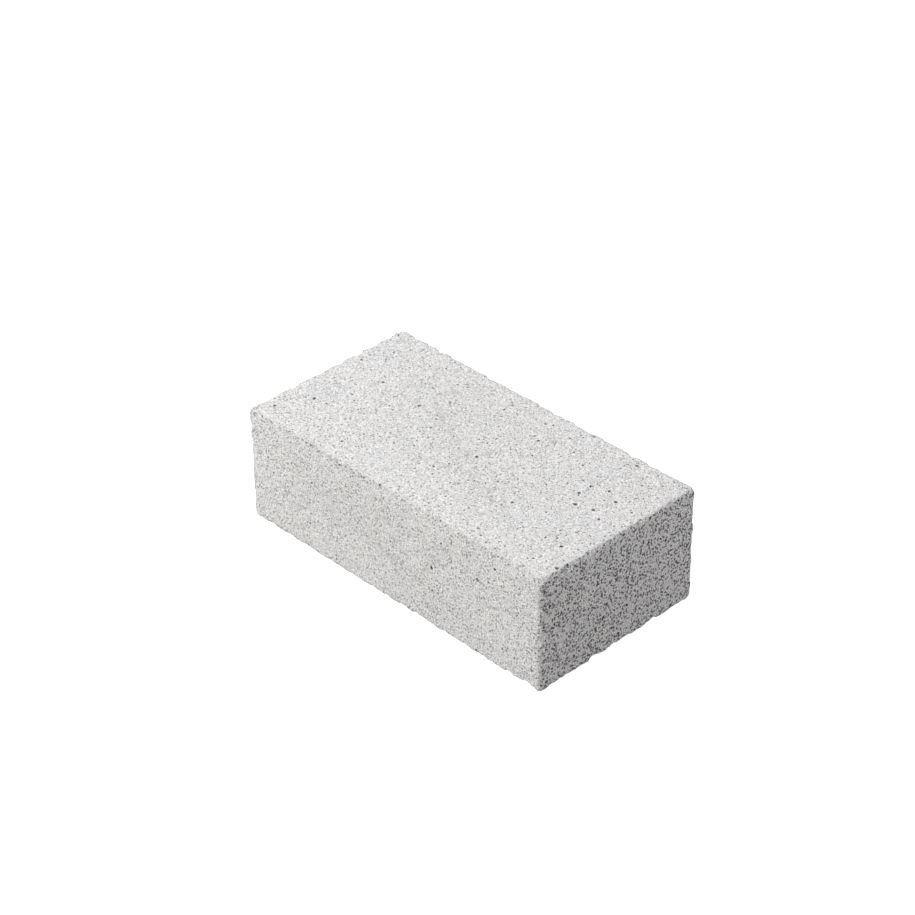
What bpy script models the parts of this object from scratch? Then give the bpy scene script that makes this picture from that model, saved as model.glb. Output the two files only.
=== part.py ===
"""A gymnastics chalk block: one cake of pressed magnesium carbonate, the shape of a small brick.

The real object is a single solid with nothing inside it and nothing fastened to it, so the model is one
object. Lengths are in metres. +X runs along the block, +Y across it and +Z up, and the origin is the middle
of the face that it rests on. The six faces are flat. The twelve arrises are rubbed round and chipped, the
eight corners are worn, and the widest gas voids of the cake stand open in the faces.
"""

import math
import random

import bmesh
import bpy
from mathutils import Euler, Matrix, Vector

# The block.
LENGTH = 0.0800
WIDTH = 0.0416
HEIGHT = 0.0256

# The arrises, which are the edges between two faces, as handling rubs them round.
ARRIS_RADIUS = 0.0010
ARRIS_SEGMENTS = 3

# Chips out of the arrises: how far apart they are, where in its stretch of arris each one may fall, how
# long, wide and deep below the rounded arris they are, and how far they tilt, in radians.
CHIP_PITCH = 0.0090
CHIP_PLACES = (0.25, 0.75)
CHIP_LENGTHS = (0.0018, 0.0052)
CHIP_WIDTHS = (0.0016, 0.0030)
CHIP_DEPTHS = (0.00015, 0.00040)
CHIP_TILT = 0.3

# Worn corners: the width of the bite and how deep it goes below the rounded corner.
CORNER_WIDTHS = (0.0024, 0.0040)
CORNER_DEPTHS = (0.00015, 0.00035)

# Open voids: how far apart they are, their radii, how much longer or shorter than round they are, and how
# far each centre lies below the face, in radii.
VOID_PITCH = 0.0125
VOID_RADII = (0.00022, 0.00045)
VOID_STRETCHES = (0.85, 1.15)
VOID_SINKS = (-0.25, 0.55)

# The middle of each face stays whole over this radius, as the spot on which the block rests or is stacked.
PLAIN_RADIUS = 0.0020

# The one deep notch in the arris under the +X end, and the group of wide voids in the top near that end.
# Places are shares of the way from the block's middle to its end or side.
NOTCH_PLACE = -0.30
NOTCH_WIDTH = 0.0030
NOTCH_DEPTH = 0.00070
WIDE_VOID_RADIUS = 0.00050
WIDE_VOID_PLACES = (
    (0.64, 0.35),
    (0.64, 0.20),
    (0.69, 0.05),
    (0.73, 0.41),
    (0.78, 0.10),
    (0.81, 0.33),
    (0.85, 0.03),
    (0.92, 0.31),
    (0.68, 0.88),
)

# How finely the cutters are faceted, how much their surfaces are roughened, as a share of the radius, and
# the seed of everything irregular.
COARSE_FACETS = 1
FINE_FACETS = 2
CUTTER_ROUGHNESS = 0.16
SEED = 41

# Pressed magnesium carbonate: a matt warm white that its pores turn light grey.
CHALK_COLOUR = (0.68, 0.67, 0.65, 1.0)
CHALK_ROUGHNESS = 0.95


def clear_scene():
    """Removes the objects of the scene that Blender starts with."""
    for obj in list(bpy.data.objects):
        bpy.data.objects.remove(obj)


def new_collection(name):
    """Adds a collection to the scene."""
    collection = bpy.data.collections.new(name)
    bpy.context.scene.collection.children.link(collection)
    return collection


def put_in(collection, obj):
    """Moves an object out of the collections it is in and into this one."""
    for other in list(obj.users_collection):
        other.objects.unlink(obj)
    collection.objects.link(obj)


def axis_vector(axis, length=1.0):
    """A vector of this length along one axis, where 0 is X, 1 is Y and 2 is Z."""
    vector = Vector((0.0, 0.0, 0.0))
    vector[axis] = length
    return vector


def half_sizes():
    """Half the block's length, width and height."""
    return Vector((LENGTH, WIDTH, HEIGHT)) / 2


def block_middle():
    """The middle of the block."""
    return axis_vector(2, HEIGHT / 2)


def random_turn(rng, most):
    """A rotation matrix with up to this much turn about each axis, in radians."""
    return Euler([rng.uniform(-most, most) for _ in range(3)]).to_matrix()


def chalk_material():
    """The block's matt, off-white material."""
    material = bpy.data.materials.new("pressed_chalk")
    material.use_nodes = True
    shader = material.node_tree.nodes["Principled BSDF"]
    shader.inputs["Base Color"].default_value = CHALK_COLOUR
    shader.inputs["Roughness"].default_value = CHALK_ROUGHNESS
    shader.inputs["Metallic"].default_value = 0.0
    return material


def add_cutter(collection, name, centre, semi_axes, turn, facets, rng):
    """Adds a roughened ellipsoid that bites into the block, with its semi-axes turned by a rotation matrix."""
    bpy.ops.mesh.primitive_ico_sphere_add(subdivisions=facets, radius=1.0)
    cutter = bpy.context.object
    cutter.name = name
    mesh = bmesh.new()
    mesh.from_mesh(cutter.data)
    for vertex in mesh.verts:
        vertex.co *= 1.0 + CUTTER_ROUGHNESS * rng.uniform(-1.0, 1.0)
    bmesh.ops.scale(mesh, vec=semi_axes, verts=mesh.verts)
    mesh.to_mesh(cutter.data)
    mesh.free()
    cutter.matrix_world = Matrix.Translation(centre) @ turn.to_4x4()
    cutter.hide_render = True
    cutter.display_type = "WIRE"
    put_in(collection, cutter)


def arrises():
    """Yields each arris as (direction along it, half its length, outward diagonal, its middle)."""
    halves = half_sizes()
    for along in range(3):
        first, second = (axis for axis in range(3) if axis != along)
        for first_side in (-1, 1):
            for second_side in (-1, 1):
                outward = axis_vector(first, first_side) + axis_vector(second, second_side)
                middle = block_middle() + outward * halves
                yield axis_vector(along), halves[along], outward.normalized(), middle


def chip_arris(collection, name, edge_point, direction, diagonal, size, rng):
    """Chips an arris at a point of its sharp edge: size is the chip's length, width and depth."""
    length, width, depth = size
    reach = width / 2
    round_off = (math.sqrt(2.0) - 1.0) * ARRIS_RADIUS
    along_arris = Matrix((direction, direction.cross(diagonal), diagonal)).transposed()
    turn = along_arris @ random_turn(rng, CHIP_TILT)
    centre = edge_point + diagonal * (reach - depth - round_off)
    add_cutter(collection, name, centre, (length / 2, width / 2, reach), turn, FINE_FACETS, rng)


def chip_arrises(collection, rng):
    """Chips every arris at irregular places along it."""
    for number, (direction, half, diagonal, middle) in enumerate(arrises()):
        count = max(1, round(2 * half / CHIP_PITCH))
        stretch = 2 * half / count
        for chip in range(count):
            edge_point = middle + direction * (stretch * (chip + rng.uniform(*CHIP_PLACES)) - half)
            size = (rng.uniform(*CHIP_LENGTHS), rng.uniform(*CHIP_WIDTHS), rng.uniform(*CHIP_DEPTHS))
            chip_arris(collection, f"chip_{number}_{chip}", edge_point, direction, diagonal, size, rng)


def notch_end_arris(collection, rng):
    """Cuts the one deep notch in the arris under the +X end."""
    edge_point = Vector((LENGTH / 2, NOTCH_PLACE * WIDTH / 2, 0.0))
    diagonal = (axis_vector(0) - axis_vector(2)).normalized()
    size = (NOTCH_WIDTH, NOTCH_WIDTH, NOTCH_DEPTH)
    chip_arris(collection, "notch", edge_point, axis_vector(1), diagonal, size, rng)


def wear_corners(collection, rng):
    """Takes an irregular bite off each of the eight corners."""
    round_off = (math.sqrt(3.0) - 1.0) * ARRIS_RADIUS
    for number in range(8):
        outward = Vector([1.0 if number >> axis & 1 else -1.0 for axis in range(3)])
        corner = block_middle() + outward * half_sizes()
        reach = rng.uniform(*CORNER_WIDTHS) / 2
        centre = corner + outward.normalized() * (reach - rng.uniform(*CORNER_DEPTHS) - round_off)
        turn = random_turn(rng, math.pi)
        add_cutter(collection, f"corner_{number}", centre, (reach,) * 3, turn, FINE_FACETS, rng)


def open_void(collection, name, place, normal, radius, facets, rng):
    """Opens one void at a point of a face."""
    semi_axes = [radius * rng.uniform(*VOID_STRETCHES) for _ in range(3)]
    centre = place - normal * radius * rng.uniform(*VOID_SINKS)
    add_cutter(collection, name, centre, semi_axes, random_turn(rng, math.pi), facets, rng)


def open_face_voids(collection, facing, side, rng):
    """Opens voids in one face, one to each square of a loose grid, clear of its arrises and its middle."""
    halves = half_sizes()
    normal = axis_vector(facing, side)
    face_middle = block_middle() + normal * halves[facing]
    margin = 2 * ARRIS_RADIUS + max(VOID_RADII)
    across, up = (axis for axis in range(3) if axis != facing)
    columns, rows = (max(1, round(2 * halves[axis] / VOID_PITCH)) for axis in (across, up))
    for column in range(columns):
        for row in range(rows):
            along_share = 2 * (column + rng.random()) / columns - 1
            up_share = 2 * (row + rng.random()) / rows - 1
            offset = axis_vector(across, (halves[across] - margin) * along_share)
            offset += axis_vector(up, (halves[up] - margin) * up_share)
            radius = rng.uniform(*VOID_RADII)
            if offset.length > PLAIN_RADIUS + radius:
                place = face_middle + offset
                open_void(collection, "void", place, normal, radius, COARSE_FACETS, rng)


def open_voids(collection, rng):
    """Opens the voids of all six faces, and the group of wide ones in the top."""
    for facing in range(3):
        for side in (-1, 1):
            open_face_voids(collection, facing, side, rng)
    for along, across in WIDE_VOID_PLACES:
        place = Vector((along * LENGTH / 2, across * WIDTH / 2, HEIGHT))
        open_void(collection, "wide_void", place, axis_vector(2), WIDE_VOID_RADIUS, FINE_FACETS, rng)


def chalk_block(collection, cutters):
    """The block: a box with rounded arrises, less all the cutters."""
    bpy.ops.mesh.primitive_cube_add(size=1.0)
    block = bpy.context.object
    block.name = "chalk_block"
    block.scale = (LENGTH, WIDTH, HEIGHT)
    bpy.ops.object.transform_apply(location=False, rotation=False, scale=True)
    block.location = block_middle()
    block.data.materials.append(chalk_material())
    rounding = block.modifiers.new("rounded_arrises", "BEVEL")
    rounding.width = ARRIS_RADIUS
    rounding.segments = ARRIS_SEGMENTS
    rounding.limit_method = "NONE"
    wear = block.modifiers.new("chips_and_voids", "BOOLEAN")
    wear.operation = "DIFFERENCE"
    wear.operand_type = "COLLECTION"
    wear.collection = cutters
    put_in(collection, block)


def main():
    """Builds the block and everything that is cut from it."""
    clear_scene()
    rng = random.Random(SEED)
    block_parts = new_collection("gymnastics_chalk_block")
    cutters = new_collection("cutters")
    chip_arrises(cutters, rng)
    notch_end_arris(cutters, rng)
    wear_corners(cutters, rng)
    open_voids(cutters, rng)
    chalk_block(block_parts, cutters)


main()
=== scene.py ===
"""The looks of a gymnastics chalk block: one pressed, open-pored cake with rubbed and crumbled arrises.

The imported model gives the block's box. One piece, pressed_block, stands for its only node. It is a form with
rubbed arrises, which are the edges between two faces. Chips, crumbs and thousands of pores are cut out of it,
so that they are real hollows in a closed mesh. The finish adds what is finer than that: the grain of the
powder, pinholes and a fine relief. Lengths are in metres unless a name ends in _mm.
"""

import itertools
import logging
import math
from dataclasses import dataclass, field
from enum import Enum

import bmesh
import bpy
import numpy as np
from mathutils import Matrix, Vector, noise
from mathutils.bvhtree import BVHTree
from mathutils.kdtree import KDTree


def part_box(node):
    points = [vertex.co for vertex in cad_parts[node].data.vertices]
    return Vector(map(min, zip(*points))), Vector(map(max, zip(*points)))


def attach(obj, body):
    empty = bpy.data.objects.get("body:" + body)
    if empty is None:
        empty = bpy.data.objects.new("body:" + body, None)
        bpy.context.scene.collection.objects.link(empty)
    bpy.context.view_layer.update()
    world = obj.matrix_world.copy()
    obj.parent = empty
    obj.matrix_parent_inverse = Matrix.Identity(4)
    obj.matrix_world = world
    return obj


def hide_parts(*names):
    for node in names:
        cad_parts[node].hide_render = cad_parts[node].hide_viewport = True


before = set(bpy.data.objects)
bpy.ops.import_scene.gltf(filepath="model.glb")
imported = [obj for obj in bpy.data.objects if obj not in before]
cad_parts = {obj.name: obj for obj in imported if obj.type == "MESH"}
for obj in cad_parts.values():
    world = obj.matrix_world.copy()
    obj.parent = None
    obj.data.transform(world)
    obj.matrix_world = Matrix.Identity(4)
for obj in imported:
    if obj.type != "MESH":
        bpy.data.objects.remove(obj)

LOG = logging.getLogger("chalk_block")
MM = 0.001
CAD_NODE = "chalk_block"
CAD_BODY = "root"
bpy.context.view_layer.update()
# The cosine past which a direction counts as lying along an axis.
NEARLY_ALONG = 0.9


def linear(hex_code: str) -> tuple[float, float, float, float]:
    """Turns an sRGB hex colour into the linear colour that the shaders take.

    Args:
        hex_code: the colour, such as "#d9d7d4".

    Returns:
        Red, green and blue in linear light, and an alpha of 1.
    """
    channels = [int(hex_code[start : start + 2], 16) / 255 for start in (1, 3, 5)]
    light = [c / 12.92 if c <= 0.04045 else ((c + 0.055) / 1.055) ** 2.4 for c in channels]
    return (light[0], light[1], light[2], 1.0)


def add_node(
    tree: bpy.types.NodeTree, kind: str, settings: dict | None = None, links: dict | None = None
) -> bpy.types.Node:
    """Adds a node with its settings and links.

    Args:
        tree: the node tree to add it to.
        kind: the node's type without its ShaderNode prefix, such as "Bump".
        settings: values by property name, or by the name or number of an input.
        links: output sockets by the name or number of the input that each one feeds.

    Returns:
        The new node.
    """
    node = tree.nodes.new("ShaderNode" + kind)
    for name, value in (settings or {}).items():
        if isinstance(name, str) and hasattr(node, name):
            setattr(node, name, value)
        else:
            node.inputs[name].default_value = value
    for name, socket in (links or {}).items():
        tree.links.new(socket, node.inputs[name])
    return node


def compass(azimuth: float, elevation: float) -> Vector:
    """Turns two angles into the way from the block to a lamp or the camera.

    Args:
        azimuth: the angle round the block, in degrees from -Y towards +X.
        elevation: the angle above level, in degrees.

    Returns:
        A unit vector.
    """
    turn = math.radians(azimuth)
    rise = math.radians(elevation)
    return Vector((math.sin(turn) * math.cos(rise), -math.cos(turn) * math.cos(rise), math.sin(rise)))


def new_object(name: str, mesh: bpy.types.Mesh) -> bpy.types.Object:
    """Puts a mesh in the scene as an object at the origin.

    Args:
        name: the object's name.
        mesh: its mesh.

    Returns:
        The new object.
    """
    made = bpy.data.objects.new(name, mesh)
    bpy.context.scene.collection.objects.link(made)
    return made


def settle(mesh: bpy.types.Mesh) -> None:
    """Puts a mesh's faces and their corners in a fixed order, so that the next cut is the same each run.

    The solver's threads hand the same faces back in another order each time. The shape stays as it is.

    Args:
        mesh: the mesh, which holds nothing but its points and faces.
    """
    points = [tuple(vert.co) for vert in mesh.vertices]
    faces = []
    for polygon in mesh.polygons:
        corners = list(polygon.vertices)
        first = corners.index(min(corners))
        faces.append(corners[first:] + corners[:first])
    mesh.clear_geometry()
    mesh.from_pydata(points, [], sorted(faces))
    mesh.update()


class Grade(Enum):
    """How finely a hollow is faceted: the segments round it and the rings from its top to its bottom."""

    PINHOLE = (4, 2)
    PORE = (7, 2)
    VOID = (8, 4)
    CHIP = (12, 6)


@dataclass(frozen=True)
class BlockBox:
    """The box that the block fills, with the radius of its rubbed arrises."""

    low: Vector
    high: Vector
    arris_radius: float = 0.6 * MM

    @property
    def middle(self) -> Vector:
        """The middle of the box."""
        return (self.low + self.high) / 2

    @property
    def half(self) -> Vector:
        """Half the length, width and height."""
        return (self.high - self.low) / 2

    def outward(self, point: Vector) -> Vector:
        """The way out of the block at a point of its rubbed surface.

        Args:
            point: a point on or near the surface.

        Returns:
            A unit vector, square to the face, or fanning out over an arris or a corner.
        """
        local = point - self.middle
        core = self.half - Vector((self.arris_radius,) * 3)
        away = Vector(
            value - max(-limit, min(limit, value)) for value, limit in zip(local, core, strict=True)
        )
        return away.normalized()

    def arris_distance(self, point: Vector) -> float:
        """How far a point of the surface lies from the nearest arris, measured square to it."""
        local = point - self.middle
        return sorted(limit - abs(value) for value, limit in zip(local, self.half, strict=True))[1]


@dataclass
class RubbedForm:
    """The block before its pores: a brick whose arrises are rubbed round and waver where they have worn.

    The wear is a slow waver and a quicker crumble. Each has a wavelength, a depth and a bias, which is the
    share of its depth that it takes where its waves are at their mean.
    """

    box: BlockBox
    arris_segments: int = 4
    band_widths: tuple[float, ...] = (0.6 * MM, 1.0 * MM)
    station: float = 0.7 * MM
    cut_tolerance: float = 0.001 * MM
    waver_length: float = 3.6 * MM
    waver_depth: float = 0.34 * MM
    waver_bias: float = 0.12
    crumble_length: float = 1.5 * MM
    crumble_depth: float = 0.26 * MM
    crumble_bias: float = 0.08
    wear_reach: float = 0.8 * MM

    def make(self) -> bpy.types.Object:
        """Models the form.

        Returns:
            An object with the form's mesh, in its place.
        """
        form = bmesh.new()
        bmesh.ops.create_cube(form, size=1.0, matrix=Matrix.Translation(self.box.middle))
        bmesh.ops.scale(
            form,
            vec=self.box.half * 2,
            space=Matrix.Translation(-self.box.middle),
            verts=form.verts,
        )
        bmesh.ops.bevel(
            form,
            geom=list(form.edges) + list(form.verts),
            offset=self.box.arris_radius,
            offset_type="OFFSET",
            segments=self.arris_segments,
            profile=0.5,
            affect="EDGES",
            material=-1,
        )
        self.add_bands(form)
        self.cut_stations(form)
        self.wear_arrises(form)
        mesh = bpy.data.meshes.new("rubbed_form")
        form.to_mesh(mesh)
        form.free()
        settle(mesh)
        return new_object("pressed_block", mesh)

    def add_bands(self, form: bmesh.types.BMesh) -> None:
        """Frames each flat face with narrow bands, in which the face falls away to its arrises.

        Args:
            form: the brick, with its arrises already round.
        """
        for width in self.band_widths:
            flats = sorted(form.faces, key=lambda face: face.calc_area())[-6:]
            bmesh.ops.inset_individual(form, faces=flats, thickness=width, use_even_offset=True)

    def cut_stations(self, form: bmesh.types.BMesh) -> None:
        """Cuts the arrises and their bands across into short stations, so that they can waver.

        Args:
            form: the brick, with its bands.
        """
        for axis in range(3):
            length = self.box.half[axis] * 2
            count = round(length / self.station)
            along = Vector([1.0 if other == axis else 0.0 for other in range(3)])
            for number in range(1, count):
                place = self.box.low + along * (length * number / count)
                strips = [face for face in form.faces if self.runs_along(face, axis)]
                edges = dict.fromkeys(edge for face in strips for edge in face.edges)
                corners = dict.fromkeys(vert for face in strips for vert in face.verts)
                bmesh.ops.bisect_plane(
                    form,
                    geom=[*strips, *edges, *corners],
                    dist=self.cut_tolerance,
                    plane_co=place,
                    plane_no=along,
                )

    def runs_along(self, face: bmesh.types.BMFace, axis: int) -> bool:
        """Tells whether a face belongs to a strip along an axis: an arris or a band, not a flat or a corner.

        Args:
            face: a face of the form.
            axis: 0 for X, 1 for Y and 2 for Z.

        Returns:
            True if it does.
        """
        local = face.calc_center_median() - self.box.middle
        rims = [self.box.half[other] - abs(local[other]) for other in range(3) if other != axis]
        reach = self.box.arris_radius + sum(self.band_widths)
        return max(rims) < reach

    def wear_arrises(self, form: bmesh.types.BMesh) -> None:
        """Sinks the arrises by an uneven amount, more at the corners, and lets it fade into the faces.

        Args:
            form: the brick, with its stations.
        """
        for vert in form.verts:
            reach = self.box.arris_distance(vert.co) / self.wear_reach
            fade = math.exp(-reach * reach)
            waver = max(0.0, self.waver_bias + noise.noise(vert.co / self.waver_length))
            crumble = max(0.0, self.crumble_bias + noise.noise(vert.co / self.crumble_length))
            sink = fade * (self.waver_depth * waver + self.crumble_depth * crumble)
            vert.co -= self.box.outward(vert.co) * sink


@dataclass
class Hollows:
    """Hollows of one grade to be cut out of the block's surface: where, how wide and how deep they are.

    Depths, the lift of each centre above the surface and the unevenness are in radii. The stretch is the most
    by which a hollow is longer than round.
    """

    grade: Grade
    places: np.ndarray
    normals: np.ndarray
    radii: np.ndarray
    depths: np.ndarray
    lift: float = 0.12
    stretch: float = 0.2
    unevenness: float = 0.12

    def template(self) -> tuple[np.ndarray, np.ndarray]:
        """Models one hollow of unit radius.

        Returns:
            Its corner points and its triangles.
        """
        segments, rings = self.grade.value
        bowl = bmesh.new()
        bmesh.ops.create_uvsphere(bowl, u_segments=segments, v_segments=rings, radius=1.0)
        bmesh.ops.triangulate(bowl, faces=bowl.faces)
        points = np.array([vert.co for vert in bowl.verts])
        triangles = np.array([[vert.index for vert in face.verts] for face in bowl.faces])
        bowl.free()
        return points, triangles

    def build(self, rng: np.random.Generator) -> tuple[np.ndarray, np.ndarray]:
        """Places a roughened copy of the template at each place.

        There are thousands of copies, so arrays turn and place them all at once.

        Args:
            rng: the source of everything irregular.

        Returns:
            The corner points and triangles of all the hollows.
        """
        points, triangles = self.template()
        count = len(self.places)
        spin = rng.uniform(0.0, 2 * math.pi, count)
        leans_on_x = np.abs(self.normals[:, :1]) >= NEARLY_ALONG
        helper = np.where(leans_on_x, [[0.0, 1.0, 0.0]], [[1.0, 0.0, 0.0]])
        first = np.cross(helper, self.normals)
        first /= np.linalg.norm(first, axis=1, keepdims=True)
        second = np.cross(self.normals, first)
        along = first * np.cos(spin)[:, None] + second * np.sin(spin)[:, None]
        across = np.cross(self.normals, along)
        longer = 1.0 + rng.uniform(0.0, self.stretch, count)[:, None]
        axes = np.stack([along * longer, across / longer, self.normals * self.depths[:, None]], axis=1)
        uneven = rng.uniform(-self.unevenness, self.unevenness, (count, len(points), 1))
        shaped = points[None] * (1.0 + uneven)
        placed = np.einsum("nvk,nkx->nvx", shaped, axes) * self.radii[:, None, None]
        placed += (self.places + self.normals * (self.lift * self.radii)[:, None])[:, None]
        numbers = triangles[None] + (np.arange(count) * len(points))[:, None, None]
        return placed.reshape(-1, 3), numbers.reshape(-1, 3)


def cut_out(piece: bpy.types.Object, groups: list[Hollows], rng: np.random.Generator) -> None:
    """Cuts hollows out of a piece, all at once.

    Args:
        piece: the object to cut.
        groups: the hollows, which lie clear of each other but for a graze here and there.
        rng: the source of everything irregular.
    """
    points: list[np.ndarray] = []
    triangles: list[np.ndarray] = []
    for group in groups:
        group_points, group_triangles = group.build(rng)
        triangles.append(group_triangles + sum(len(part) for part in points))
        points.append(group_points)
    cutter = bpy.data.meshes.new("hollows")
    cutter.from_pydata(np.concatenate(points).tolist(), [], np.concatenate(triangles).tolist())
    tool = new_object("hollows", cutter)
    bite = piece.modifiers.new("bite", "BOOLEAN")
    bite.operation = "DIFFERENCE"
    bite.solver = "MANIFOLD"
    bite.object = tool
    evaluated = piece.evaluated_get(bpy.context.evaluated_depsgraph_get())
    result = bpy.data.meshes.new_from_object(evaluated)
    piece.modifiers.clear()
    settle(result)
    whole = piece.data
    piece.data = result
    bpy.data.meshes.remove(whole)
    bpy.data.objects.remove(tool)
    bpy.data.meshes.remove(cutter)


def surface_tree(piece: bpy.types.Object) -> BVHTree:
    """Takes the piece's present surface, for finding the nearest point on it."""
    return BVHTree.FromObject(piece, bpy.context.evaluated_depsgraph_get())


@dataclass
class OpenPores:
    """The gas pores that stand open in the block's surface, from pinholes to voids.

    The radii are spread log-normally about their median. Depths are in radii, and the wall is how far apart
    the middles of two pores are at the least, as a multiple of the sum of their radii. Each wide void has a
    place, as shares of the way from the middle of the top to the +X end and the +Y side, and a radius in mm.
    """

    box: BlockBox
    per_square_mm: float = 1.32
    median_radius: float = 0.152 * MM
    spread: float = 0.28
    least_radius: float = 0.11 * MM
    most_radius: float = 0.44 * MM
    pore_radius: float = 0.23 * MM
    void_radius: float = 0.34 * MM
    end_widening: float = 1.25
    pinhole_depth: float = 2.3
    pore_depth: float = 1.8
    void_depth: float = 1.25
    arris_depth: float = 1.0
    arris_reach: float = 0.55 * MM
    wall: float = 1.45
    wide_voids: tuple[tuple[float, float, float], ...] = (
        (0.64, 0.35, 0.36),
        (0.64, 0.20, 0.40),
        (0.69, 0.05, 0.46),
        (0.73, 0.41, 0.38),
        (0.78, 0.10, 0.44),
        (0.81, 0.33, 0.40),
        (0.85, 0.03, 0.36),
        (0.92, 0.31, 0.34),
        (0.68, 0.88, 0.40),
    )

    def scatter(self, surface: BVHTree, rng: np.random.Generator) -> list[Hollows]:
        """Spreads pores over the whole surface, none of them touching another.

        Args:
            surface: the surface that they open in.
            rng: the source of everything irregular.

        Returns:
            The pores, one group to a grade.
        """
        spots, radii = self.draw(rng)
        places, normals = self.seat(spots, surface)
        kept = self.apart(places, radii)
        near_arris = np.array([self.box.arris_distance(place) < self.arris_reach for place in places])
        grades = (
            (Grade.PINHOLE, 0.0, self.pore_radius, self.pinhole_depth),
            (Grade.PORE, self.pore_radius, self.void_radius, self.pore_depth),
            (Grade.VOID, self.void_radius, math.inf, self.void_depth),
        )
        at, out = np.array(places), np.array(normals)
        groups = []
        for grade, least, most, depth in grades:
            own = kept & (radii >= least) & (radii < most)
            depths = np.where(near_arris, min(depth, self.arris_depth), depth)
            groups.append(Hollows(grade, at[own], out[own], radii[own], depths[own]))
        return groups

    def draw(self, rng: np.random.Generator) -> tuple[np.ndarray, np.ndarray]:
        """Draws a place on the box and a radius for each pore.

        Args:
            rng: the source of everything irregular.

        Returns:
            The places and the radii: the wide voids, and then the pores from the widest down.
        """
        half = np.array(self.box.half)
        areas = 4 * np.array([half[1] * half[2], half[0] * half[2], half[0] * half[1]])
        count = int(2 * areas.sum() / MM**2 * self.per_square_mm)
        facing = rng.choice(3, count, p=areas / areas.sum())
        spots = rng.uniform(-1.0, 1.0, (count, 3)) * half
        spots[np.arange(count), facing] = rng.choice((-1.0, 1.0), count) * half[facing]
        widening = np.where(facing == 0, self.end_widening, 1.0)
        radii = widening * rng.lognormal(math.log(self.median_radius), self.spread, count)
        radii = np.clip(radii, self.least_radius, self.most_radius)
        widest_first = np.argsort(-radii)
        void_spots = [(along * half[0], across * half[1], half[2]) for along, across, _ in self.wide_voids]
        void_radii = [radius_mm * MM for _, _, radius_mm in self.wide_voids]
        spots = np.concatenate([void_spots, spots[widest_first]]) + np.array(self.box.middle)
        return spots, np.concatenate([void_radii, radii[widest_first]])

    def seat(self, spots: np.ndarray, surface: BVHTree) -> tuple[list[Vector], list[Vector]]:
        """Moves each pore from the box to the nearest point of the surface.

        Args:
            spots: the places on the box.
            surface: the surface that the pores open in.

        Returns:
            The places on the surface, and the way out of the block at each.
        """
        places = []
        normals = []
        for spot in spots:
            place, normal, _, _ = surface.find_nearest(Vector(spot))
            places.append(place)
            normals.append((normal + self.box.outward(place)).normalized())
        return places, normals

    def apart(self, places: list[Vector], radii: np.ndarray) -> np.ndarray:
        """Drops each pore that would touch an earlier one.

        Args:
            places: where the pores are.
            radii: their radii, from the widest pore down but for the wide voids, which come first.

        Returns:
            For each pore, whether it stays.
        """
        tree = KDTree(len(places))
        for number, place in enumerate(places):
            tree.insert(place, number)
        tree.balance()
        kept = np.ones(len(places), dtype=bool)
        for number, place in enumerate(places):
            if not kept[number]:
                continue
            for _, other, gap in tree.find_range(place, 2 * self.wall * radii[number]):
                if other > number and gap < self.wall * (radii[number] + radii[other]):
                    kept[other] = False
        return kept


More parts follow.
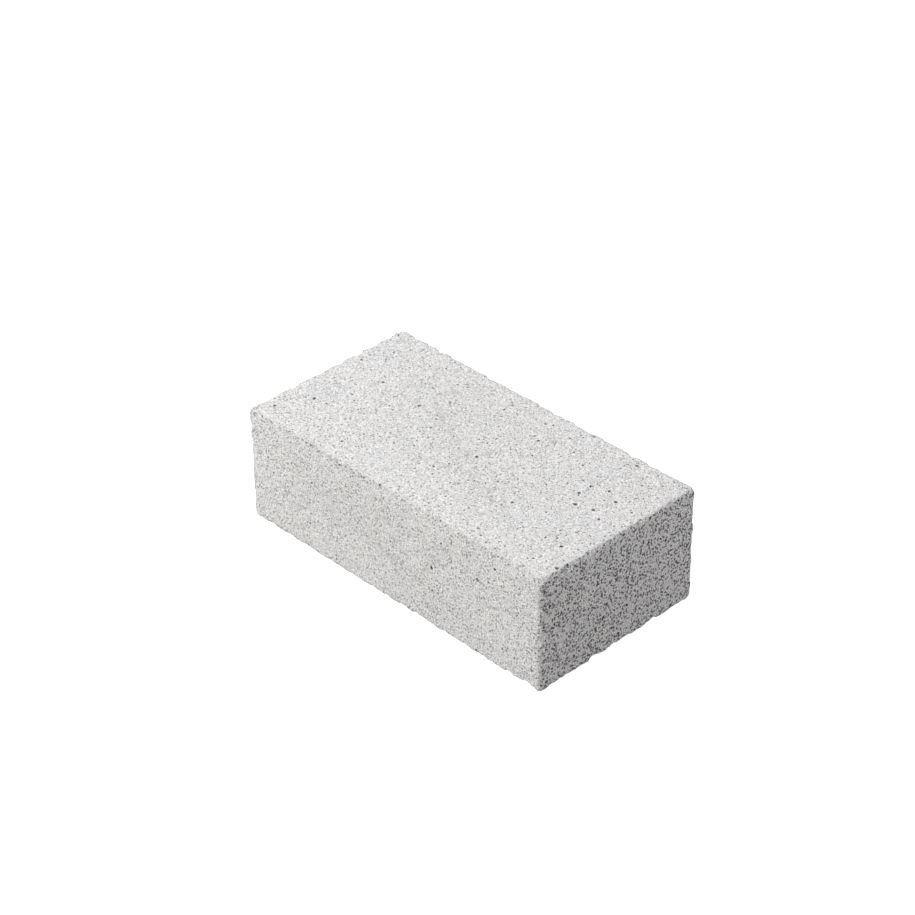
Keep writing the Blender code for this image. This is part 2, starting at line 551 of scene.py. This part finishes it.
@dataclass
class CrumbledArrises:
    """Bites along the arrises and at the corners where crumbs have come away, and the one deep notch.

    Depths and the room that a bite takes to each side along its arris are in radii. The notch is in the arris
    under the +X end, at a share of the way from its middle to its +Y end.
    """

    box: BlockBox
    crumb_radii: tuple[float, float] = (0.20 * MM, 0.55 * MM)
    crumb_gap: float = 0.20 * MM
    crumb_depth: float = 0.95
    chip_radii: tuple[float, float] = (0.6 * MM, 1.4 * MM)
    chip_gap: float = 2.4 * MM
    chip_depth: float = 0.38
    corner_clearance: float = 1.3 * MM
    corner_radius: float = 1.15 * MM
    corner_spread: tuple[float, float] = (0.7, 1.2)
    notch_radius: float = 1.5 * MM
    notch_depth: float = 0.5
    notch_share: float = -0.30
    room: float = 1.5
    depth_spread: tuple[float, float] = (0.8, 1.2)
    unevenness: float = 0.2

    def chips(self, surface: BVHTree, rng: np.random.Generator) -> list[Hollows]:
        """Lays out the shallow chips along the arrises, the notch and the worn corners.

        Args:
            surface: the surface that they open in.
            rng: the source of everything irregular.

        Returns:
            The chips, and the notch with the corners.
        """
        shallow = self.clear_of_notch(self.along_arrises(self.chip_radii, self.chip_gap, rng))
        deep = [(self.notch(), self.notch_radius)]
        for signs in itertools.product((-1.0, 1.0), repeat=3):
            corner = self.box.middle + Vector(signs) * self.box.half
            deep.append((corner, self.corner_radius * rng.uniform(*self.corner_spread)))
        return [
            self.bites(Grade.CHIP, shallow, self.chip_depth, surface, rng),
            self.bites(Grade.VOID, deep, self.notch_depth, surface, rng),
        ]

    def crumbs(self, surface: BVHTree, rng: np.random.Generator) -> list[Hollows]:
        """Lays out the small bites along the arrises, clear of the notch.

        Args:
            surface: the surface that they open in.
            rng: the source of everything irregular.

        Returns:
            The bites.
        """
        small = self.clear_of_notch(self.along_arrises(self.crumb_radii, self.crumb_gap, rng))
        return [self.bites(Grade.PORE, small, self.crumb_depth, surface, rng)]

    def notch(self) -> Vector:
        """Finds the middle of the one deep notch, on the sharp arris."""
        across = self.box.middle.y + self.notch_share * self.box.half.y
        return Vector((self.box.high.x, across, self.box.low.z))

    def clear_of_notch(self, spots: list[tuple[Vector, float]]) -> list[tuple[Vector, float]]:
        """Leaves out the bites that would run into the notch.

        Args:
            spots: the places of the bites and their radii.

        Returns:
            Those that stay.
        """
        notch = self.notch()
        return [
            (spot, radius)
            for spot, radius in spots
            if (spot - notch).length > self.notch_radius + self.room * radius
        ]

    def bites(
        self,
        grade: Grade,
        spots: list[tuple[Vector, float]],
        depth: float,
        surface: BVHTree,
        rng: np.random.Generator,
    ) -> Hollows:
        """Sets bites into the rubbed surface, at the points nearest to their places on the sharp arrises.

        Args:
            grade: how they are faceted.
            spots: their places on the sharp arrises and their radii.
            depth: how deep they are, in radii.
            surface: the surface that they open in.
            rng: the source of everything irregular.

        Returns:
            The bites.
        """
        places = [surface.find_nearest(spot)[0] for spot, _ in spots]
        normals = [self.box.outward(place) for place in places]
        radii = np.array([radius for _, radius in spots])
        depths = depth * rng.uniform(*self.depth_spread, len(spots))
        return Hollows(
            grade, np.array(places), np.array(normals), radii, depths, unevenness=self.unevenness
        )

    def along_arrises(
        self, radii: tuple[float, float], gap: float, rng: np.random.Generator
    ) -> list[tuple[Vector, float]]:
        """Spaces bites irregularly along the twelve arrises.

        Args:
            radii: the least and the greatest radius.
            gap: the mean gap between two bites.
            rng: the source of everything irregular.

        Returns:
            The place of each bite on the sharp arris, and its radius.
        """
        spots = []
        for axis in range(3):
            first, second = (other for other in range(3) if other != axis)
            for first_side, second_side in itertools.product((-1, 1), repeat=2):
                start = self.corner_clearance
                while True:
                    radius = rng.uniform(*radii)
                    start += rng.exponential(gap) + self.room * radius
                    if start + radius > 2 * self.box.half[axis] - self.corner_clearance:
                        break
                    spot = Vector(self.box.middle)
                    spot[axis] = self.box.low[axis] + start
                    spot[first] += first_side * self.box.half[first]
                    spot[second] += second_side * self.box.half[second]
                    spots.append((spot, radius))
                    start += self.room * radius
        return spots


@dataclass(frozen=True)
class BakeSheet:
    """The flat layout of the block's six faces, side by side, for baking its finish at one scale."""

    box: BlockBox
    gutter: float = 1.5 * MM

    def lay_out(self, piece: bpy.types.Object) -> None:
        """Gives the piece a UV map on which each face, with the pores in it, is seen straight on.

        Args:
            piece: the finished block.
        """
        length, width, height = (self.box.high - self.box.low) + Vector((2 * self.gutter,) * 3)
        # Each face is known by its axis and side. It has the place of its lower left corner on the sheet, and
        # stands on end or not.
        spots = {
            (2, 1): (0.0, 0.0, True),
            (2, -1): (width, 0.0, True),
            (1, 1): (2 * width, 0.0, True),
            (1, -1): (0.0, length, False),
            (0, 1): (0.0, length + height, False),
            (0, -1): (width, length + height, False),
        }
        side = length + 2 * height
        mesh = piece.data
        points = np.empty(len(mesh.vertices) * 3)
        mesh.vertices.foreach_get("co", points)
        points = points.reshape(-1, 3) - np.array(self.box.low) + self.gutter
        corners = np.empty(len(mesh.loops), dtype=np.int64)
        mesh.loops.foreach_get("vertex_index", corners)
        centres = np.empty(len(mesh.polygons) * 3)
        mesh.polygons.foreach_get("center", centres)
        centres = centres.reshape(-1, 3) - np.array(self.box.middle)
        rims = np.array(self.box.half) - np.abs(centres)
        facing = rims.argmin(axis=1)
        ways = np.sign(centres[np.arange(len(facing)), facing]).astype(int)
        counts = np.empty(len(mesh.polygons), dtype=np.int64)
        mesh.polygons.foreach_get("loop_total", counts)
        loop_facing, loop_ways = np.repeat(facing, counts), np.repeat(ways, counts)
        sheet = np.zeros((len(corners), 2))
        for (axis, way), (left, foot, on_end) in spots.items():
            chosen = (loop_facing == axis) & (loop_ways == way)
            flat = np.delete(points[corners[chosen]], axis, axis=1)
            sheet[chosen] = (flat[:, ::-1] if on_end else flat) + (left, foot)
        layer = mesh.uv_layers.new(name="OFBake")
        layer.data.foreach_set("uv", (sheet / side).ravel())


@dataclass(frozen=True)
class ChalkFinish:
    """Pressed magnesium carbonate, which gives the eye a matt, dusty, warm light grey full of fine pores.

    The pinholes and grain carry painted shade that differs by face: none on the top and bottom, a little on
    the long sides and most on the two ends. There the pinholes are also drawn wider and the grain's light and
    dark specks stronger, as on a face that the lamps only graze. The rubbed arrises are crumbled, and they
    carry painted shade, a little darker than the faces, for the small shadows in their crumbled surface.

    The grain of the real powder is a few hundredths of a millimetre, and its pinholes are a tenth or two
    apart. Neither would show, so both are drawn as coarse as they need to show. The pinholes are painted
    shade, dark in the middle, with a painted highlight on the rim. The radii and the edge of the pinholes are
    shares of the distance between them. The slice gives a pinhole's lightness from the painted shade in its
    middle, over the painted highlight on its rim, to the skin beyond.
    """

    warm: str = "#e6e5e3"
    cool: str = "#e5e4e4"
    # Painted shade: the dark colour that the walls inside the pores take, for the shade in them.
    wall: str = "#747271"
    roughness: float = 0.95
    diffuse_roughness: float = 0.6
    specular_level: float = 0.25
    cloud_mm: float = 7.0
    cloud_span: tuple[float, float] = (0.35, 0.65)
    wall_shade_depth_mm: float = 0.2
    grain_mm: float = 0.25
    grain_span: tuple[float, float] = (0.3, 0.7)
    grain_tones: tuple[float, float] = (0.6, 1.4)
    pinhole_mm: float = 0.56
    pinhole_scatter: float = 0.85
    pinhole_radii: tuple[float, float] = (0.12, 0.37)
    pinhole_widening: float = 0.11
    pinhole_edge: tuple[float, float] = (-0.15, 0.3)
    pinhole_strengths: tuple[float, float] = (0.45, 1.0)
    # Painted shade in a pinhole's middle and a painted highlight on its rim, as lightness by share of the way
    # out.
    pinhole_shade_slice: tuple[tuple[float, float], ...] = (
        (0.0, 0.28),
        (0.27, 0.42),
        (0.46, 1.12),
        (0.72, 1.0),
        (1.0, 0.96),
    )
    bend_mm: float = 0.3
    bend_reach_mm: float = 0.28
    # Painted shade along the arrises: how far it reaches and how dark it gets.
    arris_shade_width_mm: float = 1.3
    arris_shade_tone: float = 0.87
    zone_mm: tuple[float, float] = (0.2, 0.6)
    # Painted pore shade by face. The long sides take this share of the ends' shade. On the ends the pinholes
    # and the grain are raised to these powers, which darkens the pinholes and makes the grain's light and dark
    # specks stronger.
    side_pore_shade: float = 0.42
    end_pinhole_shade: float = 2.15
    end_grain_light_and_shade: float = 1.6
    relief_mm: float = 0.14

    def make(self, box: BlockBox) -> bpy.types.Material:
        """Makes the block's material.

        Args:
            box: the box that the block fills, from which the places of its arrises and ends follow.

        Returns:
            The material.
        """
        material = bpy.data.materials.new("pressed_magnesium_carbonate")
        material.use_nodes = True
        tree = material.node_tree
        place = add_node(tree, "TexCoord").outputs["Object"]
        rims = self.rims(tree, place, box)
        # Painted shade on the arrises.
        arris = self.arris_shade(tree, rims)
        # Painted shade by face: the pinholes and grain are stronger on the long sides and strongest on the
        # ends.
        grain_and_pinhole_shade = self.texture(tree, place, self.face_pore_shade(tree, rims))
        # The lightness that multiplies the colour holds the painted shade of the pinholes, faces and arrises,
        # with painted highlights on the pinholes' rims.
        light = add_node(tree, "Math", {"operation": "MULTIPLY"}, {0: grain_and_pinhole_shade, 1: arris}).outputs[0]
        colour = add_node(
            tree, "VectorMath", {"operation": "SCALE"}, {0: self.colour(tree, place), "Scale": light}
        ).outputs[0]
        relief = add_node(
            tree, "Bump", {"Distance": self.relief_mm * MM, "Strength": 1.0}, {"Height": grain_and_pinhole_shade}
        ).outputs["Normal"]
        shader = tree.nodes["Principled BSDF"]
        shader.inputs["Roughness"].default_value = self.roughness
        shader.inputs["Diffuse Roughness"].default_value = self.diffuse_roughness
        shader.inputs["Specular IOR Level"].default_value = self.specular_level
        tree.links.new(colour, shader.inputs["Base Color"])
        tree.links.new(relief, shader.inputs["Normal"])
        return material

    def rims(
        self, tree: bpy.types.NodeTree, place: bpy.types.NodeSocket, box: BlockBox
    ) -> bpy.types.bpy_prop_collection:
        """Works out how far a point lies inside the nearer face across each axis.

        Args:
            tree: the material's nodes.
            place: the point's place on the object.
            box: the box that the block fills.

        Returns:
            The three distances: to an end, to a long side, and to the top or bottom.
        """
        local = add_node(tree, "VectorMath", {"operation": "SUBTRACT", 1: box.middle}, {0: place}).outputs[0]
        away = add_node(tree, "VectorMath", {"operation": "ABSOLUTE"}, {0: local}).outputs[0]
        rims = add_node(tree, "VectorMath", {"operation": "SUBTRACT", 0: box.half}, {1: away}).outputs[0]
        return add_node(tree, "SeparateXYZ", None, {0: rims}).outputs

    def arris_shade(
        self, tree: bpy.types.NodeTree, rims: bpy.types.bpy_prop_collection
    ) -> bpy.types.NodeSocket:
        """Paints shade on the arrises, where the middle one of the three distances is small, for the small
        shadows of their crumbled surface.

        Args:
            tree: the material's nodes.
            rims: the distances to the faces.

        Returns:
            What the colour is multiplied by: the painted shade's tone on an arris and 1 on the faces.
        """
        least = add_node(tree, "Math", {"operation": "MINIMUM"}, {0: rims[0], 1: rims[1]}).outputs[0]
        most = add_node(tree, "Math", {"operation": "MAXIMUM"}, {0: rims[0], 1: rims[1]}).outputs[0]
        inner = add_node(tree, "Math", {"operation": "MINIMUM"}, {0: most, 1: rims[2]}).outputs[0]
        middle = add_node(tree, "Math", {"operation": "MAXIMUM"}, {0: least, 1: inner}).outputs[0]
        return add_node(
            tree,
            "MapRange",
            {"From Max": self.arris_shade_width_mm * MM, "To Min": self.arris_shade_tone, "To Max": 1.0},
            {"Value": middle},
        ).outputs["Result"]

    def face_pore_shade(
        self, tree: bpy.types.NodeTree, rims: bpy.types.bpy_prop_collection
    ) -> bpy.types.NodeSocket:
        """Works out how much shade is painted into the pinholes and grain of each face.

        Args:
            tree: the material's nodes.
            rims: the distances to the faces.

        Returns:
            1 on the ends, less on the long sides and 0 on the top and bottom.
        """
        start, end = self.zone_mm
        pore_shade = [
            add_node(
                tree,
                "MapRange",
                {
                    "interpolation_type": "SMOOTHSTEP",
                    "From Min": start * MM,
                    "From Max": end * MM,
                    "To Min": share,
                    "To Max": 0.0,
                },
                {"Value": rim},
            ).outputs["Result"]
            for rim, share in ((rims[0], 1.0), (rims[1], self.side_pore_shade))
        ]
        return add_node(tree, "Math", {"operation": "MAXIMUM"}, {0: pore_shade[0], 1: pore_shade[1]}).outputs[0]

    def pinholes(
        self,
        tree: bpy.types.NodeTree,
        place: bpy.types.NodeSocket,
        pore_shade: bpy.types.NodeSocket,
    ) -> bpy.types.NodeSocket:
        """Paints shade in holes too small to be cut into the mesh, slices through bubbles with painted
        highlights on their rims.

        Args:
            tree: the material's nodes.
            place: the point's place on the object.
            pore_shade: how much shade is painted on the face, from 0 to 1.

        Returns:
            What the colour is multiplied by: little in a hole's painted shade, over 1 on its painted rim
                highlight and nearly 1 elsewhere.
        """
        bends = add_node(
            tree, "TexNoise", {"Scale": 1 / (self.bend_mm * MM), "Detail": 1.0}, {"Vector": place}
        ).outputs["Color"]
        bent = add_node(
            tree,
            "VectorMath",
            {"operation": "MULTIPLY_ADD", 1: (self.bend_reach_mm * MM,) * 3},
            {0: bends, 2: place},
        ).outputs[0]
        cells = add_node(
            tree,
            "TexVoronoi",
            {"Scale": 1 / (self.pinhole_mm * MM), "Randomness": self.pinhole_scatter},
            {"Vector": bent},
        ).outputs
        chances = add_node(tree, "SeparateColor", None, {0: cells["Color"]}).outputs
        least, most = self.pinhole_radii
        radius = add_node(
            tree, "MapRange", {"To Min": least, "To Max": most}, {"Value": chances[0]}
        ).outputs[0]
        # Where more shade is painted, the pinholes are drawn wider.
        wider = add_node(
            tree, "Math", {"operation": "MULTIPLY_ADD", 1: self.pinhole_widening}, {0: pore_shade, 2: radius}
        ).outputs[0]
        gap = add_node(tree, "Math", {"operation": "SUBTRACT"}, {0: cells["Distance"], 1: wider}).outputs[0]
        inside, outside = self.pinhole_edge
        share = add_node(
            tree, "MapRange", {"From Min": inside, "From Max": outside}, {"Value": gap}
        ).outputs[0]
        # Painted shade in the middle of each pinhole, a painted highlight on its rim.
        ramp = add_node(tree, "ValToRGB", None, {0: share})
        stops = ramp.color_ramp.elements
        stops.remove(stops[1])
        for number, (position, value) in enumerate(self.pinhole_shade_slice):
            stop = stops.new(position) if number else stops[0]
            stop.color = (value, value, value, 1.0)
        faint, full = self.pinhole_strengths
        strength = add_node(
            tree, "MapRange", {"To Min": faint, "To Max": full}, {"Value": chances[1]}
        ).outputs[0]
        slices = ramp.outputs[0]
        return add_node(tree, "Mix", {"data_type": "FLOAT", 2: 1.0}, {0: strength, 3: slices}).outputs[0]

    def grain(self, tree: bpy.types.NodeTree, place: bpy.types.NodeSocket) -> bpy.types.NodeSocket:
        """Draws the grain of the powder.

        Args:
            tree: the material's nodes.
            place: the point's place on the object.

        Returns:
            What the colour is multiplied by, about 1 in the mean.
        """
        fine = add_node(
            tree,
            "TexNoise",
            {"Scale": 1 / (self.grain_mm * MM), "Detail": 2.0, "Roughness": 0.6},
            {"Vector": place},
        ).outputs["Fac"]
        low, high = self.grain_span
        dark, light = self.grain_tones
        return add_node(
            tree,
            "MapRange",
            {"From Min": low, "From Max": high, "To Min": dark, "To Max": light},
            {"Value": fine},
        ).outputs["Result"]

    def texture(
        self, tree: bpy.types.NodeTree, place: bpy.types.NodeSocket, pore_shade: bpy.types.NodeSocket
    ) -> bpy.types.NodeSocket:
        """Works out how light the surface is from its grain and its pinholes, with their painted shade and rim
        highlights, both stronger where more pore shade is painted.

        Args:
            tree: the material's nodes.
            place: the point's place on the object.
            pore_shade: how much shade is painted on the face, from 0 to 1.

        Returns:
            What the colour is multiplied by. It also serves as the height of the finest relief.
        """
        patterns = (
            (self.grain(tree, place), self.end_grain_light_and_shade),
            (self.pinholes(tree, place, pore_shade), self.end_pinhole_shade),
        )
        tones = []
        for pattern, most in patterns:
            power = add_node(tree, "MapRange", {"To Min": 1.0, "To Max": most}, {"Value": pore_shade}).outputs[0]
            tones.append(add_node(tree, "Math", {"operation": "POWER"}, {0: pattern, 1: power}).outputs[0])
        return add_node(tree, "Math", {"operation": "MULTIPLY"}, {0: tones[0], 1: tones[1]}).outputs[0]

    def colour(self, tree: bpy.types.NodeTree, place: bpy.types.NodeSocket) -> bpy.types.NodeSocket:
        """Colours the block: faint warm and cool clouds, and painted shade on the walls inside the pores,
        darker the deeper they lie.

        Args:
            tree: the material's nodes.
            place: the point's place on the object.

        Returns:
            The colour.
        """
        clouds = add_node(
            tree, "TexNoise", {"Scale": 1 / (self.cloud_mm * MM), "Detail": 3.0}, {"Vector": place}
        ).outputs["Fac"]
        low, high = self.cloud_span
        split = add_node(tree, "MapRange", {"From Min": low, "From Max": high}, {"Value": clouds}).outputs[0]
        skin = add_node(
            tree, "Mix", {"data_type": "RGBA", 6: linear(self.warm), 7: linear(self.cool)}, {0: split}
        ).outputs[2]
        # Painted shade in the pores: the deeper a point lies below the skin, the more it takes the walls' dark
        # colour.
        sunk = add_node(tree, "Attribute", {"attribute_name": "sunk"}).outputs["Fac"]
        deep = add_node(tree, "MapRange", {"From Max": self.wall_shade_depth_mm * MM}, {"Value": sunk}).outputs[0]
        return add_node(
            tree, "Mix", {"data_type": "RGBA", 7: linear(self.wall)}, {0: deep, 6: skin}
        ).outputs[2]


@dataclass
class PressedBlock:
    """The block itself, the only piece: its form, what is cut out of it and its finish.

    Edges sharper than the rim angle, in degrees, are shaded sharp.
    """

    box: BlockBox
    seed: int = 7
    rim_angle: float = 32.0
    finish: ChalkFinish = field(default_factory=ChalkFinish)

    def build(self) -> bpy.types.Object:
        """Models and dresses the block.

        Returns:
            The finished piece.
        """
        rng = np.random.default_rng(self.seed)
        block = RubbedForm(self.box).make()
        wear = CrumbledArrises(self.box)
        cut_out(block, wear.chips(surface_tree(block), rng), rng)
        cut_out(block, wear.crumbs(surface_tree(block), rng), rng)
        skin = surface_tree(block)
        pores = OpenPores(self.box).scatter(skin, rng)
        LOG.info("pores: %s", {group.grade.name: len(group.radii) for group in pores})
        cut_out(block, pores, rng)
        self.shed_crumbs(block)
        self.shade(block, skin)
        BakeSheet(self.box).lay_out(block)
        block.data.materials.clear()
        block.data.materials.append(self.finish.make(self.box))
        return block

    def shed_crumbs(self, block: bpy.types.Object) -> None:
        """Removes the few crumbs that the cuts have left loose, so that the block is one solid.

        Args:
            block: the piece, with everything cut out.
        """
        solid = bmesh.new()
        solid.from_mesh(block.data)
        unseen = dict.fromkeys(solid.verts)
        loose = []
        while unseen:
            crumb = [unseen.popitem()[0]]
            for vert in crumb:
                for edge in vert.link_edges:
                    other = edge.other_vert(vert)
                    if other in unseen:
                        del unseen[other]
                        crumb.append(other)
            if len(crumb) < len(solid.verts) / 2:
                loose += crumb
        bmesh.ops.delete(solid, geom=loose, context="VERTS")
        solid.to_mesh(block.data)
        solid.free()

    def shade(self, block: bpy.types.Object, skin: BVHTree) -> None:
        """Shades the block smooth but for the rims of its hollows, and notes how deep each point lies.

        Args:
            block: the piece, with everything cut out.
            skin: its surface before the pores were cut.
        """
        mesh = block.data
        mesh.shade_smooth()
        mesh.set_sharp_from_angle(angle=math.radians(self.rim_angle))
        depth = [skin.find_nearest(vert.co)[3] for vert in mesh.vertices]
        mesh.attributes.new("sunk", "FLOAT", "POINT").data.foreach_set("value", depth)


@dataclass(frozen=True)
class SoftBox:
    """A square lamp that faces the block, placed by its angles round and above it, in degrees.

    The azimuth counts from straight in front of the block towards its +X end. The power is in watts.
    """

    name: str
    azimuth: float
    elevation: float
    distance: float
    power: float
    tint: str = "#ffffff"
    size: float = 0.28

    def hang(self, target: Vector) -> None:
        """Hangs the lamp.

        Args:
            target: the point that it faces.
        """
        way = compass(self.azimuth, self.elevation)
        lamp = bpy.data.lights.new(self.name, "AREA")
        lamp.shape = "SQUARE"
        lamp.size = self.size
        lamp.energy = self.power
        lamp.color = linear(self.tint)[:3]
        holder = bpy.data.objects.new(self.name, lamp)
        holder.location = target + way * self.distance
        holder.rotation_euler = way.to_track_quat("Z", "Y").to_euler()
        bpy.context.scene.collection.objects.link(holder)


@dataclass(frozen=True)
class Studio:
    """A pale floor, two soft boxes in front, a low fill behind the +X end, and the camera.

    Angles are in degrees. The camera's line of sight runs past the middle of the block's foot, moved aside
    and raised by the lengths given.
    """

    box: BlockBox
    camera_azimuth: float = 46.05
    camera_elevation: float = 34.53
    camera_roll: float = -0.59
    camera_distance: float = 0.5515
    camera_aside: float = -0.0021
    camera_raised: float = 0.0191
    lens_mm: float = 110.4
    sensor_mm: float = 36.0
    nearest: float = 0.01
    farthest: float = 50.0
    lamps: tuple[SoftBox, ...] = (
        SoftBox("key_box", azimuth=-42.0, elevation=44.0, distance=0.42, power=1.15),
        SoftBox("side_box", azimuth=10.0, elevation=50.0, distance=0.9, power=2.55),
        SoftBox("fill_box", azimuth=130.0, elevation=7.0, distance=0.3, power=0.36, tint="#faf5ff"),
    )
    sky: float = 0.384
    floor_radius: float = 6.0
    floor_gap: float = 0.02 * MM
    paper: str = "#c4c3c1"
    paper_glow: float = 1.0

    def build(self) -> None:
        """Sets up the floor, the lights and the camera."""
        self.lay_floor()
        for lamp in self.lamps:
            lamp.hang(self.box.middle)
        self.light_sky()
        self.set_camera()
        bpy.context.scene.view_settings.view_transform = "Standard"

    def lay_floor(self) -> None:
        """Lays a wide, pale, matt floor under the block.

        It is uncoated background paper, which the eye sees as one even white where it is lit from all round.
        """
        plate = bmesh.new()
        bmesh.ops.create_circle(plate, cap_ends=True, segments=64, radius=self.floor_radius)
        mesh = bpy.data.meshes.new("studio_floor")
        plate.to_mesh(mesh)
        plate.free()
        mesh.transform(Matrix.Translation((0.0, 0.0, self.box.low.z - self.floor_gap)))
        paper = bpy.data.materials.new("white_background_paper")
        paper.use_nodes = True
        tree = paper.node_tree
        tree.nodes.clear()
        seen = add_node(tree, "LightPath").outputs["Is Camera Ray"]
        matt = add_node(tree, "BsdfDiffuse", {"Color": linear(self.paper)}).outputs[0]
        glow = add_node(tree, "Emission", {"Strength": self.paper_glow}).outputs[0]
        lit = add_node(tree, "AddShader", None, {0: matt, 1: glow}).outputs[0]
        both = add_node(tree, "MixShader", None, {0: seen, 1: matt, 2: lit}).outputs[0]
        add_node(tree, "OutputMaterial", None, {"Surface": both})
        mesh.materials.append(paper)
        new_object("studio_floor", mesh)

    def light_sky(self) -> None:
        """Fills the studio with low, even light, and leaves the background white."""
        world = bpy.data.worlds.new("studio")
        world.use_nodes = True
        tree = world.node_tree
        tree.nodes.clear()
        seen = add_node(tree, "LightPath").outputs["Is Camera Ray"]
        strength = add_node(tree, "MapRange", {"To Min": self.sky, "To Max": 1.0}, {"Value": seen}).outputs[0]
        sky = add_node(tree, "Background", {"Color": linear("#ffffff")}, {"Strength": strength}).outputs[0]
        add_node(tree, "OutputWorld", None, {"Surface": sky})
        bpy.context.scene.world = world

    def set_camera(self) -> None:
        """Sets the camera above the block's right-hand front corner."""
        back = compass(self.camera_azimuth, self.camera_elevation)
        level = Vector((0.0, 0.0, 1.0)).cross(back).normalized()
        tilt = Matrix.Rotation(math.radians(self.camera_roll), 3, back)
        right = tilt @ level
        up = back.cross(right)
        lens = bpy.data.cameras.new("camera")
        lens.lens = self.lens_mm
        lens.sensor_width = self.sensor_mm
        lens.clip_start = self.nearest
        lens.clip_end = self.farthest
        camera = bpy.data.objects.new("camera", lens)
        turn = Matrix((right, up, back)).transposed().to_4x4()
        foot = Vector((self.box.middle.x, self.box.middle.y, self.box.low.z))
        stand = foot + back * self.camera_distance + right * self.camera_aside + up * self.camera_raised
        camera.matrix_world = Matrix.Translation(stand) @ turn
        bpy.context.scene.collection.objects.link(camera)
        bpy.context.scene.camera = camera


def main() -> None:
    """Builds the studio and the block, and says what was made."""
    logging.basicConfig(level=logging.INFO, format="%(name)s: %(message)s")
    low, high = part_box(CAD_NODE)
    box = BlockBox(low, high)
    Studio(box).build()
    block = PressedBlock(box).build()
    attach(block, CAD_BODY)
    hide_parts(CAD_NODE)
    block.data.calc_loop_triangles()
    LOG.info("%s: %d triangles", block.name, len(block.data.loop_triangles))


if __name__ == "__main__":
    main()
